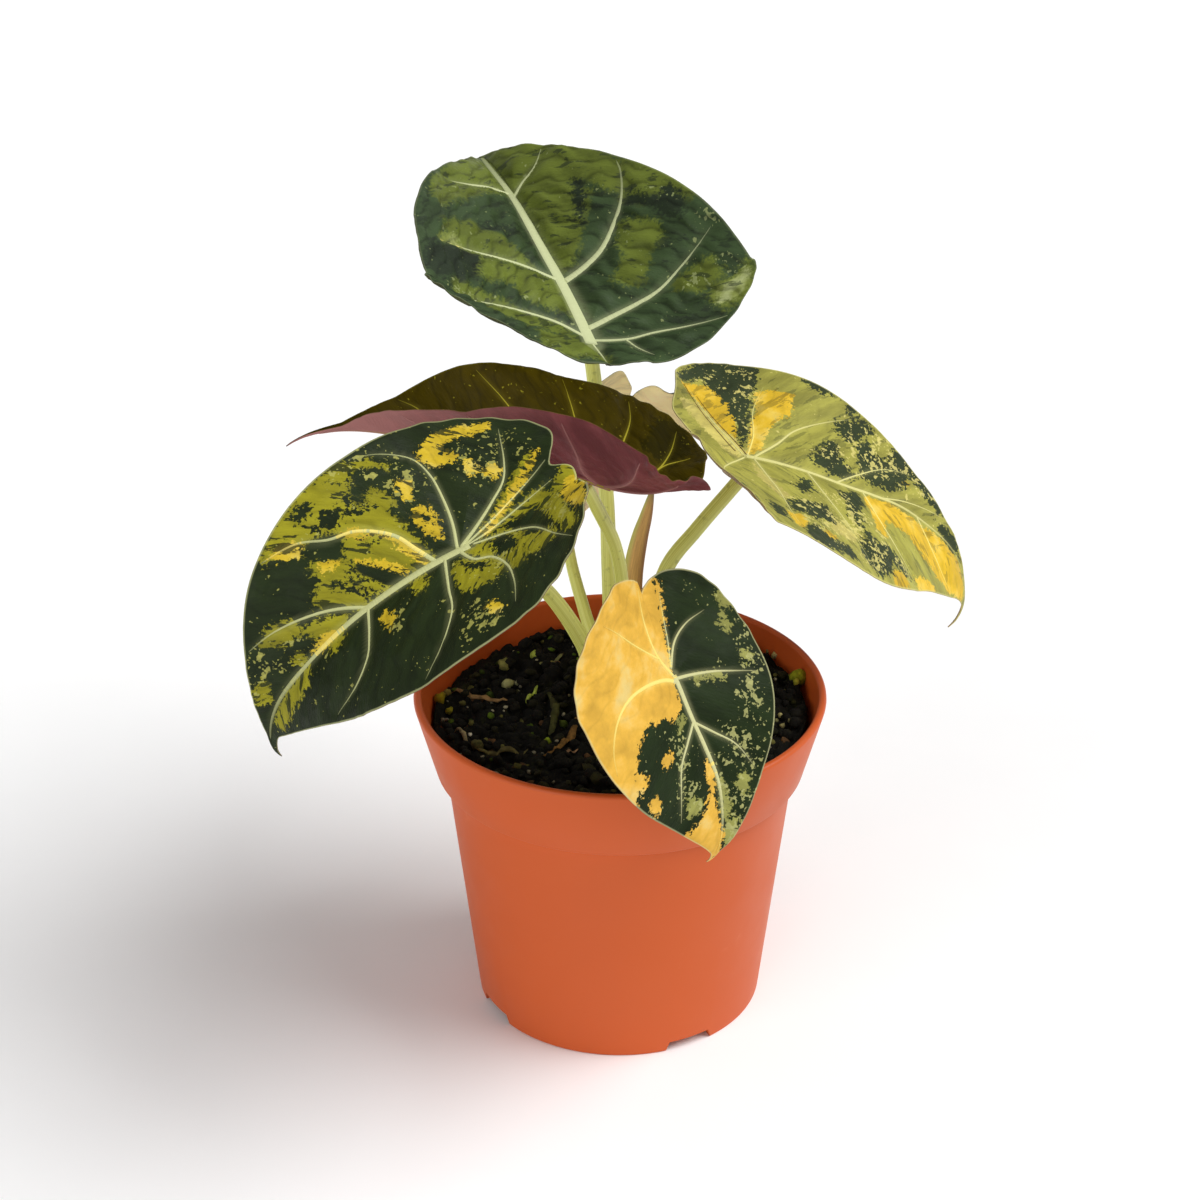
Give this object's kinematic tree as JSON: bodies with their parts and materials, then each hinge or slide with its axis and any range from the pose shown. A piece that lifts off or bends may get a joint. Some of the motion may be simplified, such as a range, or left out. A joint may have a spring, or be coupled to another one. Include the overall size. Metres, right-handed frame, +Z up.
{
  "type": "potted alocasia plant",
  "caption": "Potted velvet-leaved alocasia with yellow-variegated heart-shaped leaves on slim stalks, in a tapered plastic nursery pot with soil.",
  "frame": {"origin": "middle of the whole plant's bounding box, on the floor under the pot", "axes": "+Z up, -Y towards the viewer of the picture, +X to the right in the picture; the overhanging front leaf makes Y the longest side"},
  "size_m": [0.1999, 0.2502, 0.2344],
  "materials": {
    "pot_plastic": "moulded terracotta-coloured plastic, satin",
    "potting_mix": "moist peat with bark and perlite",
    "crown_green": "fleshy stem, satin",
    "petiole_green": "smooth fleshy stalk, satin",
    "dry_sheath": "dry papery sheath",
    "blade_top": "velvety leaf, olive green with lime sectors and pale veins",
    "blade_front_left": "velvety leaf, dark green with yellow sectors and pale veins",
    "blade_right": "velvety leaf, mostly yellow and lime with dark patches",
    "blade_front": "velvety leaf, half yellow and half dark green",
    "blade_back_left": "velvety leaf, dark olive above and dull purple below",
    "blade_back": "pale yellow and grey-pink underside of a drooping leaf"
  },
  "bodies": {
    "root": {"pot": "pot_plastic", "soil": "potting_mix", "crown": "crown_green", "blade_top": "blade_top", "petiole_top": "petiole_green", "blade_front_left": "blade_front_left", "petiole_front_left": "petiole_green", "blade_right": "blade_right", "petiole_right": "petiole_green", "blade_front": "blade_front", "petiole_front": "petiole_green", "blade_back_left": "blade_back_left", "petiole_back_left": "petiole_green", "blade_back": "blade_back", "petiole_back": "petiole_green", "cataphyll": "dry_sheath"}
  },
  "joints": []
}
